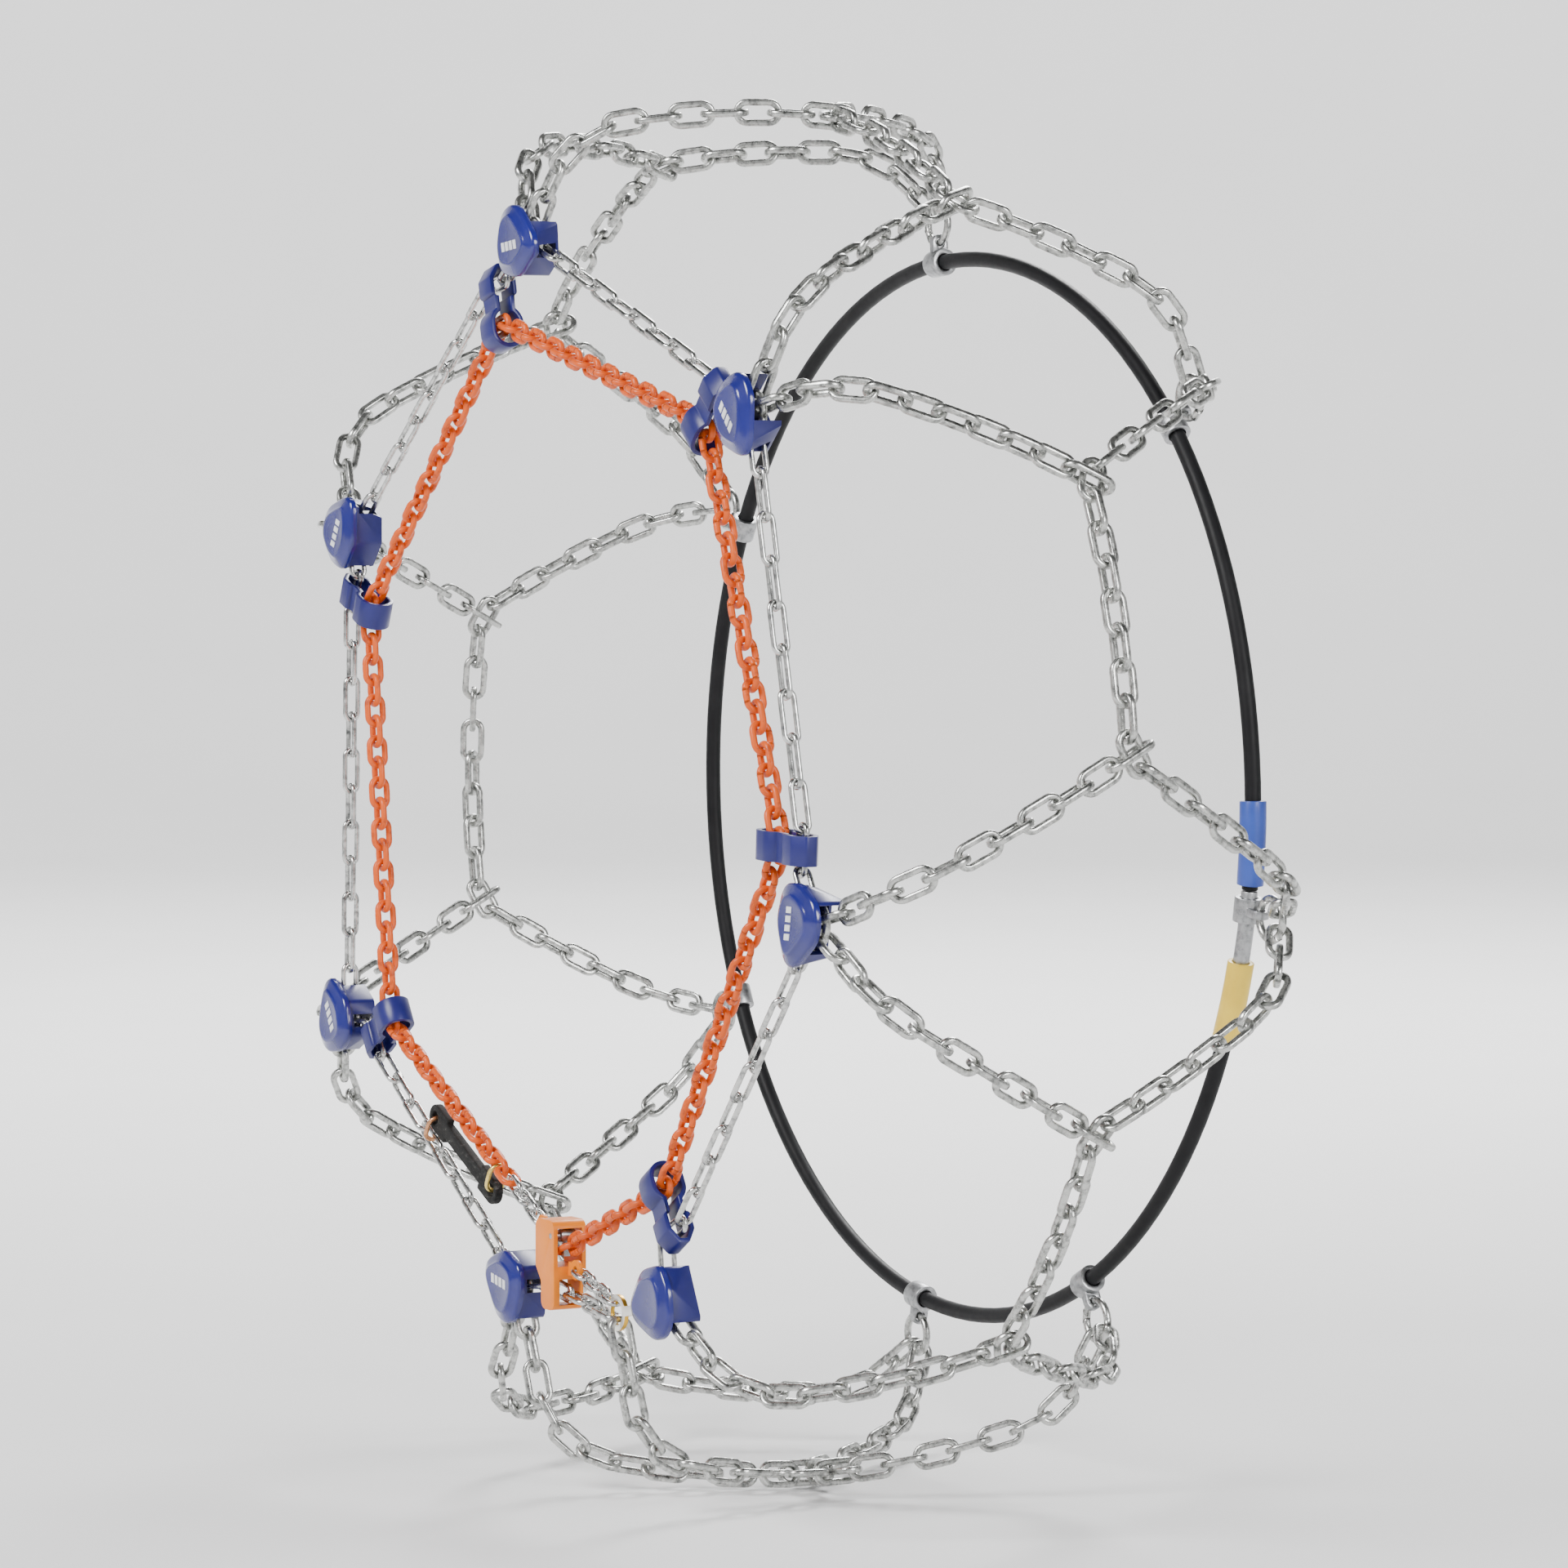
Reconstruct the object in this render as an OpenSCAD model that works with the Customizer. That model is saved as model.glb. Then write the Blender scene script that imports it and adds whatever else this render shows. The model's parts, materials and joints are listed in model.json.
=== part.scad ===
// Ladderless snow chain, kept in the shape it has when it is tensioned on a tyre.
// The origin is the wheel's centre: the wheel's axis is Y, its outer side faces -Y, +Z is up.
// Angles run anticlockwise from +X, seen from the outer side. One cell of the net is an outer
// connector, an inner connector, two junction links on the tread and four diagonals.

/* [Tyre] */
// Radius of the tread under the middle of the net
tread_radius = 338; // [336:1:342]
// Half width of the nearly flat part of the tread
crown_half = 83; // [80:1:86]
// Radius of the tread's crown, seen in the tyre's section
crown_radius = 420; // [400:10:440]
// Radius of the chain's path over the tyre's shoulder
shoulder_radius = 40; // [38:1:42]
// Distance of the two side planes from the wheel's middle plane
side_offset = 118; // [117:0.5:119]

/* [Net] */
// Wire of the tread chain
net_wire = 3.8; // [3.6:0.1:3.9]
// Outer width of a tread link
net_width = 14; // [13.8:0.1:14.4]
// Distance from one tread link to the next, before a run is shared out
net_pitch = 17.1; // [16.8:0.1:17.4]
// Angle of each outer connector round the wheel, the closing gap is the last to the first
cell_angles = [-63, -10, 42.5, 95, 150.5, 207.5, 261];
// Distance of each outer connector from the wheel's axis
cell_radii = [269, 271, 280, 280, 271, 277, 252];
// Angle between a connector and each of its two junctions
cell_half = 15.3; // [15:0.1:15.5]
// How far the junction links sit behind the middle of the tread
junction_offset = 6; // [4:1:8]
// Tilt of a junction link towards its inner diagonal
junction_tilt = 25; // [22:1:28]
// Play between two links that hang in each other
play = 0.7; // [0.6:0.05:0.8]

/* [Side chain] */
// Wire of the outer side chain
side_wire = 2.8; // [2.7:0.1:2.9]
// Outer width of a side chain link
side_width = 10; // [9.8:0.1:10.2]
// Distance from one side chain link to the next
side_pitch = 20; // [19.5:0.1:20.5]

/* [Tension chain] */
// Coated wire of the tension chain
tension_wire = 3.4; // [3.2:0.1:3.5]
// Outer width of a tension chain link
tension_width = 12; // [11.6:0.1:12.2]
// Distance from one tension chain link to the next
tension_pitch = 10.6; // [10.4:0.1:10.8]

/* [Guides] */
// Angle of each guide past its connector
guide_turns = [5, 7, 6.5, 9, 6.5, 5.5];
// Distance of the side chain from the axis where a guide holds it
guide_radii = [240, 254, 265, 266, 257, 251];
// Distance between a guide's two eyes
guide_reach = 23; // [22:0.5:24]
// Length of a guide along the chain
guide_length = 14; // [13:0.5:14.5]

/* [Connectors] */
// Wire of the ring inside a connector
ring_wire = 4; // [3.9:0.1:4.1]
// Radius of that ring to the middle of its wire
ring_radius = 10; // [9.8:0.1:10.2]
// Angle at which the two diagonals spread from a ring
fan_angle = 26; // [25:1:28]
// The same for the inner rings
inner_fan_angle = 32; // [30:1:34]

/* [Inner hoop] */
// Radius of the flexible hoop behind the tyre
hoop_radius = 273; // [272:1:275]
// Thickness of the sheathed cable
hoop_wire = 8; // [7.8:0.1:8.2]

/* [Lock] */
// Height and reach of the lock's middle from the axis
lock_drop = 230; // [229:1:231]
// Thickness of the lock's body
lock_depth = 18; // [17.5:0.5:18.5]

/* [Hidden] */

DEG = 180 / PI;
cells = len(cell_angles);
last = cells - 1;
net_radius = tread_radius + net_width / 2;      // axis of the net over the middle of the tread
net_bend = (net_width - net_wire) / 2;
wall_start = 80;                                // slope of the shoulder where the sidewall begins
crown_end = crown_half / crown_radius * DEG;
shoulder_arc = shoulder_radius * (wall_start - crown_end) / DEG;
wall_y = crown_radius * sin(crown_end) + shoulder_radius * (sin(wall_start) - sin(crown_end));
wall_r = net_radius - crown_radius * (1 - cos(crown_end))
  - shoulder_radius * (cos(crown_end) - cos(wall_start));
junction_length = net_pitch + play + 2 * net_wire;
junction_half = (junction_length - net_width) / 2;
ring_reach = ring_radius - ring_wire / 2 - play / 2;   // where a chain run begins inside a ring
net_reach = net_bend - net_wire / 2 - play / 2;        // and where it begins inside a net link
bead_back = net_width / 2 + 1;                         // an outer diagonal's first link is strung
bead_reach = net_width / 2 + net_wire + play / 2 + 1.2; // over its junction link, from back to reach

lug_reach = 10.5;                                      // from the hoop's cable to a lug's small hole
inner_ring_r = hoop_radius + lug_reach + ring_radius;

eye_radius = 7.5;
eye_rim = 3;
hook_thick = 2.4;
eye_in = eye_radius - eye_rim / 2 - 0.65;             // where a chain run begins inside the hook's eye
hook_at = [68, -side_offset, -250];
lock_at = [6, -side_offset, -lock_drop];
lock_joint = lock_at + [3, 0, 4];
slack_end = [-50, -side_offset, -197];                // where the tension chain ends in plain links
strap_wire = 2.6;

// ---------------------------------------------------------------- vectors and links

function unit(v) = v / norm(v);
function polar(r, a, y) = [r * cos(a), y, r * sin(a)];
function radial(a) = [cos(a), 0, sin(a)];
function tangent(a) = [-sin(a), 0, cos(a)];
function mix(a, b, f) = a + (b - a) * f;

module along(centre, t, w) {
  n = cross(t, w);
  multmatrix([
    [t.x, w.x, n.x, centre.x],
    [t.y, w.y, n.y, centre.y],
    [t.z, w.z, n.z, centre.z],
    [0, 0, 0, 1]]) children();
}

// An oval chain link of outer length l, its long axis on X and its width on Y
module link(l, w, d) {
  bend = (w - d) / 2;
  straight = 2 * round(50 * (l - w)) / 100;       // both halves end on whole hundredths, so they meet
  for (side = [-1, 1])
    translate([-straight / 2, side * bend, 0]) rotate([0, 90, 0]) cylinder(d = d, h = straight, $fn = 24);
  for (end = [0, 180])
    rotate([0, 0, end]) translate([straight / 2, 0, 0]) rotate([0, 0, -90])
      rotate_extrude(angle = 180, $fn = 48) translate([bend, 0]) circle(d = d, $fn = 24);
}

// A link that leans: it runs straight between the end wires of its two neighbours
function reach(d) = (d + play) / 2;
function leaning(path, i, d) =
  let (
    own = unit(path[i + 1] - path[i]),
    before = i > 0 ? unit(path[i] - path[i - 1]) : own,
    after = i < len(path) - 2 ? unit(path[i + 2] - path[i + 1]) : own,
    a = path[i] + reach(d) * before,
    b = path[i + 1] - reach(d) * after,
    t = unit(b - a))
  [a - reach(d) * t, b + reach(d) * t];

// Links hung in each other between the points of a path. "up" is the surface's direction at each
// link. A link turned by 0 stands on edge and one turned by 90 lies flat. Where the path bends, the
// links that are turned by "lean" follow the bend.
module run(path, up, d, w, first = 0, last = 0, lean = 0) {
  links = len(path) - 1;
  rest = links > 1 ? (90 * (links - 1) - (last - first)) / 180 : 0;
  turn = links > 1 ? (last - first + 180 * round(rest)) / (links - 1) : 0;
  for (i = [0 : links - 1]) {
    a = first + i * turn;
    ends = abs(cos(a - lean)) > 0.7 ? leaning(path, i, d) : [path[i], path[i + 1]];
    step = ends[1] - ends[0];
    t = unit(step);
    n = unit(up[i] - (up[i] * t) * t);
    b = cross(t, n);
    along((ends[0] + ends[1]) / 2, t, n * cos(a) + b * sin(a))
      link(norm(step) + play + 2 * d, w, d);
  }
}

// A straight-sided path through its corners, shared out in equal steps near the given pitch
function steps(a, b, pitch) = max(1, round(norm(b - a) / pitch));
function divide(a, b, n) = [for (i = [0 : n - 1]) mix(a, b, i / n)];
function cut_corners(corners, pitch) = [
  for (i = [0 : len(corners) - 2])
    each divide(corners[i], corners[i + 1], steps(corners[i], corners[i + 1], pitch)),
  corners[len(corners) - 1]];

// The same with an odd number of steps between every two corners
function odd_steps(a, b, pitch) = 1 + 2 * max(0, round((norm(b - a) / pitch - 1) / 2));
function cut_odd(corners, pitch) = [
  for (i = [0 : len(corners) - 2])
    each divide(corners[i], corners[i + 1], odd_steps(corners[i], corners[i + 1], pitch)),
  corners[len(corners) - 1]];

// ---------------------------------------------------------------- the tyre's section

// The net's path over the tyre: distance from the middle plane, radius and slope after an arc
// length m. Past the shoulder it runs straight to the side plane at radius r_end.
function end_y(side) = side_offset + (side > 0 ? 0.9 : 0.3);
function wall_length(r_end, side) = norm([end_y(side) - wall_y, wall_r - r_end]);
function section(m, r_end, side) =
  let (
    a = min(m, crown_half) / crown_radius * DEG,
    s = max(0, min(m - crown_half, shoulder_arc)) / shoulder_radius * DEG,
    e = max(0, m - crown_half - shoulder_arc) / wall_length(r_end, side),
    slope = e > 0 ? atan2(wall_r - r_end, end_y(side) - wall_y) : a + s)
  [crown_radius * sin(a) + shoulder_radius * (sin(a + s) - sin(a)) + e * (end_y(side) - wall_y),
   net_radius - crown_radius * (1 - cos(a)) - shoulder_radius * (cos(a) - cos(a + s))
     - e * (wall_r - r_end),
   slope];

// A place on the unrolled net, u = [arc across, arc round]. side is -1 outside and 1 inside.
function net_angle(s) = s / net_radius * DEG;
function net_arc(a) = a * net_radius / DEG;
function net_point(u, side, r_end) =
  let (q = section(abs(u.x), r_end, side))
  polar(q[1], net_angle(u.y), (u.x < 0 ? -side : side) * q[0]);
function net_up(u, side, r_end) =
  let (q = section(abs(u.x), r_end, side), a = net_angle(u.y))
  cos(q[2]) * radial(a) + (u.x < 0 ? -side : side) * sin(q[2]) * [0, 1, 0];

// Runs through points of the unrolled net
function net_share(u, v) =
  let (n = max(1, round(norm(v - u) / net_pitch))) [for (i = [0 : n]) mix(u, v, i / n)];
module net_run(points, side, r_end) {
  run([for (p = points) net_point(p, side, r_end)],
      [for (i = [1 : len(points) - 1]) net_up((points[i - 1] + points[i]) / 2, side, r_end)],
      net_wire, net_width);
}

// ---------------------------------------------------------------- the net

// Where a cell's junction link sits on the unrolled net, measured across towards the inner side
function junction(cell, way) = [junction_offset, net_arc(cell_angles[cell] + way * cell_half)];
function junction_axis(way) = [sin(junction_tilt), -way * cos(junction_tilt)];

// Where an outer run ends: inside the connector's ring, or in the closing hook's eye
function full_arc(r_end, side) = crown_half + shoulder_arc + wall_length(r_end, side);
function at_hook(cell, way) = cell == 0 && way == -1;
function outer_r_end(cell, way) = at_hook(cell, way) ? norm([hook_at.x, hook_at.z]) + eye_in
  : cell_radii[cell] + ring_reach * cos(fan_angle);
function outer_a_end(cell, way) = at_hook(cell, way) ? atan2(hook_at.z, hook_at.x)
  : cell_angles[cell] + way * atan2(ring_reach * sin(fan_angle), cell_radii[cell] + ring_reach);
function outer_end(cell, way) = [full_arc(outer_r_end(cell, way), -1), net_arc(outer_a_end(cell, way))];
function outer_points(cell, way) =
  let (
    j = junction(cell, way), from = [-j.x, j.y], to = outer_end(cell, way),
    d = unit(to - from))
  [from - bead_back * d, each net_share(from + bead_reach * d, to)];

inner_r_end = inner_ring_r + ring_reach * cos(inner_fan_angle);
function inner_end(cell, way) = [full_arc(inner_r_end, 1),
  net_arc(cell_angles[cell]
    + way * atan2(ring_reach * sin(inner_fan_angle), inner_ring_r + ring_reach))];
function inner_start(cell, way) =
  let (bend = junction(cell, way) + junction_half * junction_axis(way))
  bend + net_reach * unit(inner_end(cell, way) - bend);

// The centre chain runs from a cell's upper junction to the next cell's lower one
function next(cell) = (cell + 1) % cells;
function centre_bend(cell, way) = junction(cell, way) - junction_half * junction_axis(way);
function wrap(cell) = cell == last ? net_arc(360) : 0;
function centre_start(cell) = centre_bend(cell, 1) + [0, net_reach];
function centre_stop(cell) = centre_bend(next(cell), -1) + [0, wrap(cell) - net_reach];

// Diagonals are counted in pairs: the odd one of a pair is on the clockwise side of its cell
function way_of(k) = k % 2 == 1 ? -1 : 1;
function cell_of(k) = floor((k - 1) / 2);

module outer_diagonal(k) {
  color("silver")
    net_run(outer_points(cell_of(k), way_of(k)), -1, outer_r_end(cell_of(k), way_of(k)));
}

module inner_diagonal(k) {
  color("silver")
    net_run(net_share(inner_start(cell_of(k), way_of(k)), inner_end(cell_of(k), way_of(k))), 1,
      inner_r_end);
}

module centre_chain(k) {
  color("silver") net_run(net_share(centre_start(k - 1), centre_stop(k - 1)), 1, inner_r_end);
}

module junction_links() {
  color("silver")
    for (cell = [0 : last], way = [-1, 1]) {
      u = junction(cell, way);
      axis = junction_axis(way);
      up = net_up(u, 1, inner_r_end);
      a = net_angle(u.y);
      across = cross(tangent(a), up);
      t = axis.x * across + axis.y * tangent(a);
      along(net_point(u, 1, inner_r_end), t, cross(up, t)) link(junction_length, net_width, net_wire);
    }
}

// ---------------------------------------------------------------- the outer side

function cell_centre(cell) = polar(cell_radii[cell], cell_angles[cell], -side_offset);
function guide_angle(g) = cell_angles[g] + guide_turns[g];
function guide_point(g) = polar(guide_radii[g], guide_angle(g), -side_offset);
function guide_eye(g) = polar(guide_radii[g] - guide_reach, guide_angle(g), -side_offset);
guides = len(guide_turns);

// A run that starts in the ring of one cell and ends in the next one's, held by a guide between
function ring_start(centre, towards) = centre + ring_reach * unit(towards - centre);
function side_corners(cell) =
  let (
    half = side_pitch / 2 * tangent(guide_angle(cell)),
    g = guide_point(cell))
  [ring_start(cell_centre(cell), g - half), g - half, g + half,
   ring_start(cell_centre(next(cell)), g + half)];
slot_at = lock_at + [0, 0, -16];
slot_half = [side_pitch / 2, 0, -1];
function closing_corners() = [
  ring_start(cell_centre(last), slot_at - slot_half), slot_at - slot_half, slot_at + slot_half,
  hook_at + eye_in * [cos(212), 0, sin(212)]];

// The first connector's spare link, which the closing hook catches
catch_pitch = 18;
catch_way = unit(hook_at - cell_centre(0));
function catch_path() = [for (d = [ring_reach, ring_reach + catch_pitch]) cell_centre(0) + d * catch_way];

// A path all in the side plane: every link's surface direction is the wheel's axis
module side_run(path, d, w, first = 0, last = 0) {
  run(path, [for (i = [1 : len(path) - 1]) [0, -1, 0]], d, w, first, last, 90);
}

module side_chain() {
  color("gainsboro") {
    for (cell = [0 : last - 1]) side_run(cut_odd(side_corners(cell), side_pitch), side_wire, side_width);
    side_run(cut_odd(closing_corners(), side_pitch), side_wire, side_width);
    side_run(catch_path(), side_wire, side_width);
  }
}

function tension_corners() = [
  lock_joint,
  for (g = [0 : guides - 1])
    each [for (way = [-1, 1]) guide_eye(g) + way * tension_pitch / 2 * tangent(guide_angle(g))],
  slack_end];

module tension_chain() {
  color("orangered") side_run(tension_path, tension_wire, tension_width);
}

// Two short plain chains: one from the lock's right ear to the closing hook, one from the tension
// chain's slack end to the lock's left ear
short_wire = 2.6;
short_width = 9.4;
short_pitch = 10;
closing_pitch = 8;
ears = [lock_at + [17, 0, -4], lock_at + [-20, 0, 15]];
ear_hole = 4;
ear_rim = 3;
ear_thick = 2;
function in_ear(e, towards) = ears[e] + (ear_hole / 2 - 0.3) * unit(towards - ears[e]);
module lock_chains() {
  color("silver") {
    side_run(cut_corners([in_ear(0, hook_at), hook_at + eye_in * [cos(125), 0, sin(125)]], closing_pitch),
      short_wire, short_width);
    side_run(cut_corners([slack_end, in_ear(1, slack_end)], short_pitch), short_wire, short_width, 90, 0);
  }
}

// Local frame of a connector or guide: X outwards from the wheel's axis, Z round it, Y the axle
module at(r, a, y) rotate([0, -a, 0]) translate([r, y, 0]) children();

module ring() {
  rotate([90, 0, 0]) rotate_extrude($fn = 64) translate([ring_radius, 0]) circle(d = ring_wire, $fn = 32);
}

module outer_rings() {
  color("silver")
    for (cell = [0 : last]) at(cell_radii[cell], cell_angles[cell], -side_offset) ring();
}

// A polygon with every corner rounded to the same radius
function corner_arc(a, b, c, r) =
  let (
    u = unit(a - b), v = unit(c - b), half = acos(u * v) / 2,
    centre = b + unit(u + v) * r / sin(half),
    p = b + u * r / tan(half) - centre, q = b + v * r / tan(half) - centre,
    from = atan2(p.y, p.x), sweep = (atan2(q.y, q.x) - from + 540) % 360 - 180)
  [for (i = [0 : 4]) centre + r * [cos(from + sweep * i / 4), sin(from + sweep * i / 4)]];
function rounded(p, r) = [
  for (i = [0 : len(p) - 1])
    each corner_arc(p[(i + len(p) - 1) % len(p)], p[i], p[(i + 1) % len(p)], r)];

// Extrudes an outline from the plane y = from towards -Y
module plate(from, thick) translate([0, from, 0]) rotate([90, 0, 0]) linear_extrude(thick) children();

shield = [
  [-15, 17], [-1, 19.5], [14, 14], [18.5, 5], [16.5, -5],
  [1, -20], [-6, -22], [-10, -19], [-19.5, -2]];
block_depth = 15;
block_share = 0.94;                               // of the shield, so the cap stands proud all round
block_slope = 19;                                 // of the block's two ends, towards the tyre
cap_thick = 4;
face_thick = 2;

module connector_caps() {
  color("mediumblue")
    for (cell = [0 : last])
      at(cell_radii[cell], cell_angles[cell], -side_offset - block_depth / 2) {
        plate(0, cap_thick) polygon(rounded(shield, 5));
        plate(-cap_thick, face_thick) polygon(rounded(0.84 * shield, 4));
      }
}

// Directions in which the side chain leaves a connector, as angles round the wheel's axis
function heading(from, to) = atan2(to.z - from.z, to.x - from.x);
function out_heading(cell) =
  heading(cell_centre(cell), cell == last ? slot_at - slot_half : side_corners(cell)[1]);
function in_heading(cell) =
  heading(cell_centre(cell), cell == 0 ? hook_at : side_corners(cell - 1)[2]);

module connector_block(cell) {
  ring_room = ring_radius + ring_wire / 2 + 0.8;
  wall = 1.5;
  mouth = 2 * ring_room - 1.2;
  slit = side_wire + 4;
  end_at = 19;
  beyond = 60;
  difference() {
    plate(block_depth / 2, block_depth) polygon(rounded(block_share * shield, 4));
    plate(block_depth / 2 - wall, block_depth) circle(ring_room, $fn = 64);
    translate([0, -block_depth, -mouth / 2]) cube([beyond, 2 * block_depth, mouth]);
    for (h = [out_heading(cell), in_heading(cell)])
      rotate([0, cell_angles[cell] - h, 0])
        translate([0, -side_width / 2 - 0.7, -slit / 2]) cube([beyond, side_width + 1.4, slit]);
    for (end = [-1, 1])
      translate([0, -block_depth / 2, end * end_at])
        rotate([end > 0 ? -block_slope : 180 + block_slope, 0, 0])
          translate([-beyond / 2, -beyond / 2, 0]) cube([beyond, beyond, end_at]);
  }
}

module connector_blocks() {
  color("royalblue")
    for (cell = [0 : last]) at(cell_radii[cell], cell_angles[cell], -side_offset) connector_block(cell);
}

// A guide is one pear-shaped loop. Its wide eye is on the tension chain, its pointed eye is on the
// side chain and a narrower throat joins them. Each eye has room for its link to lean.
guide_skin = 2.4;
guide_room = 0.8;
guide_throat = 3;                                 // half the opening between the eyes
guide_middle = side_width / 2;                    // half the small eye's opening
guide_point = 1.6;                                // and at its pointed end
wide_eye = tension_width / 2 + guide_room;
module guide_outline(skin) {
  for (x = [-guide_reach - 2.6, -guide_reach + 1.2]) translate([x, 0]) circle(wide_eye + skin, $fn = 48);
  translate([-guide_reach - 2.6, -wide_eye - skin]) square([3.8, 2 * (wide_eye + skin)]);
  translate([-guide_reach, -guide_throat - skin]) square([guide_reach, 2 * (guide_throat + skin)]);
  polygon(rounded([
    [-7.5, -guide_middle - skin], [1.2 + 0.4 * skin, -guide_middle - skin],
    [6.8 + skin, -guide_point - skin / 2], [6.8 + skin, guide_point + skin / 2],
    [1.2 + 0.4 * skin, guide_middle + skin], [-7.5, guide_middle + skin]], 1 + skin / 2));
}

module guide(g) {
  color("mediumblue")
    at(guide_radii[g], guide_angle(g), -side_offset)
      translate([0, 0, -guide_length / 2])
        linear_extrude(guide_length)
          difference() {
            guide_outline(guide_skin);
            guide_outline(0);
          }
}

// ---------------------------------------------------------------- lock, hook and strap

pin_at = [5.5, 0, 12.2];
pin_d = 3;
lock_left = -11;
lock_right = 9.5;
lock_top = 20;
lock_foot = -25;
channel = [-3, 16];                               // height of the tension chain's channel
tunnel = [-22.5, -9.5];                           // and of the side chain's tunnel under it
module lock_body() {
  leg_left = -5;
  leg_back = 7.4;
  outline = [
    [lock_left, lock_top], [lock_right, lock_top], [lock_right, lock_foot],
    [leg_left, lock_foot], [leg_left, -11], [lock_left, -4]];
  channel_width = tension_width + 1.6;
  tunnel_width = side_width + 1.6;
  color("darkorange")
    difference() {
      union() {
        translate(lock_at) plate(lock_depth / 2, lock_depth) polygon(rounded(outline, 4.5));
        for (e = [0, 1])
          translate(ears[e]) plate(ear_thick / 2, ear_thick) {
            circle(ear_hole / 2 + ear_rim, $fn = 48);
            translate([e == 0 ? -9 : 0, -3.5]) square([e == 0 ? 9 : 12, 7]);
          }
      }
      for (e = [0, 1])
        translate(ears[e]) rotate([90, 0, 0]) cylinder(d = ear_hole, h = 9, center = true, $fn = 48);
      translate(lock_at) {
        translate([lock_left - 1, -channel_width / 2, channel[0]])
          cube([lock_right - lock_left + 1.1, channel_width, channel[1] - channel[0]]);
        translate([2 * lock_left, -tunnel_width / 2, tunnel[0]])
          cube([-4 * lock_left, tunnel_width, tunnel[1] - tunnel[0]]);
        translate([2 * lock_left, leg_back, 2 * lock_foot]) cube([-4 * lock_left, lock_depth, -8 - 2 * lock_foot]);
        translate(pin_at) rotate([90, 0, 0]) cylinder(d = pin_d + 0.1, h = 2 * lock_depth, center = true, $fn = 48);
      }
    }
}

module lock_pin() {
  color("silver")
    translate(lock_at + pin_at) rotate([90, 0, 0])
      cylinder(d = pin_d, h = lock_depth, center = true, $fn = 48);
}

// The spring-loaded catch. Its finger stands in the tension chain's last link.
pawl_length = 10.5;
module lock_pawl() {
  width = 8;
  finger = 3.6;
  finger_thick = 2.2;
  finger_turn = 93;
  color("gray")
    translate(lock_at + pin_at)
      difference() {
        union() {
          rotate([90, 0, 0]) cylinder(d = 6.4, h = width, center = true, $fn = 48);
          rotate([0, finger_turn, 0]) translate([0, -finger / 2, -finger_thick / 2])
            cube([pawl_length, finger, finger_thick]);
        }
        rotate([90, 0, 0]) cylinder(d = pin_d + 0.1, h = 2 * width, center = true, $fn = 48);
      }
}

// The closing hook: a round eye on the net's loose end, a flat shank and an open jaw on the first ring
hook_to = catch_path()[1] + (side_wire + play) / 2 * catch_way;
hook_span = norm(hook_to - hook_at);
hook_turn = heading(hook_at, hook_to);
module closing_hook() {
  jaw = side_wire / 2 + 0.9;
  rim = 3;
  color("gold")
    translate(hook_at) rotate([0, -hook_turn, 0])
      plate(hook_thick / 2, hook_thick)
        difference() {
          union() {
            circle(eye_radius + eye_rim / 2, $fn = 64);
            translate([0, -2.5]) square([hook_span - jaw - 1, 5]);
            translate([hook_span, 0]) circle(jaw + rim, $fn = 48);
          }
          circle(eye_radius - eye_rim / 2, $fn = 64);
          translate([hook_span, 0]) circle(jaw, $fn = 48);
          translate([hook_span - jaw, 0]) square([2 * jaw, 20]);
        }
}

// The rubber strap pulls the tension chain's slack end back towards the side chain. A steel link at
// each of its ends goes through a flat link of either chain.
strap_side_link = 5;                              // counted from the last guide's connector
strap_thick = 4.4;
strap_half = 7;
strap_hole = 7;
strap_gap = 15;                                   // from the tension chain to the strap's hole
strap_lead = 14;                                  // from the side chain to the strap's hole
function middle(path, i) = (path[i] + path[i + 1]) / 2;
function upright(v) = [-v.z, 0, v.x];
tension_path = cut_odd(tension_corners(), tension_pitch);
side_path = cut_odd(side_corners(last - 1), side_pitch);
strap_low = middle(tension_path, len(tension_path) - 3);
strap_low_hole = strap_low + strap_gap * upright(unit(guide_eye(guides - 1) - slack_end));
strap_high = middle(side_path, strap_side_link);
strap_high_hole = strap_high + strap_lead
  * upright(unit(side_path[strap_side_link + 1] - side_path[strap_side_link]));

module tension_strap() {
  span = norm(strap_high_hole - strap_low_hole);
  color([0.08, 0.08, 0.08])
    translate(strap_low_hole) rotate([0, -heading(strap_low_hole, strap_high_hole), 0])
      plate(strap_thick / 2, strap_thick)
        difference() {
          union() {
            circle(strap_half, $fn = 48);
            translate([span, 0]) circle(strap_half, $fn = 48);
            translate([0, -4]) square([span, 8]);
            translate([0, -strap_half]) square([14, 2 * strap_half]);
            translate([span - 14, -strap_half]) square([14, 2 * strap_half]);
          }
          circle(d = strap_hole, $fn = 48);
          translate([span, 0]) circle(d = strap_hole, $fn = 48);
        }
}

module strap_fittings() {
  width = 12;
  color("khaki")
    for (ends = [[strap_low, strap_low_hole], [strap_high, strap_high_hole]])
      along((ends[0] + ends[1]) / 2, unit(ends[1] - ends[0]), [0, 1, 0])
        link(norm(ends[1] - ends[0]) + strap_wire, width, strap_wire);
}

// ---------------------------------------------------------------- the inner side

module hoop_arc(from, to) {
  rotate([90, 0, 0]) rotate([0, 0, from]) rotate_extrude(angle = to - from, $fn = 180) children();
}
module hoop_part(from, to) translate([0, side_offset, 0]) hoop_arc(from, to) translate([hoop_radius, 0]) children();

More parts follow.
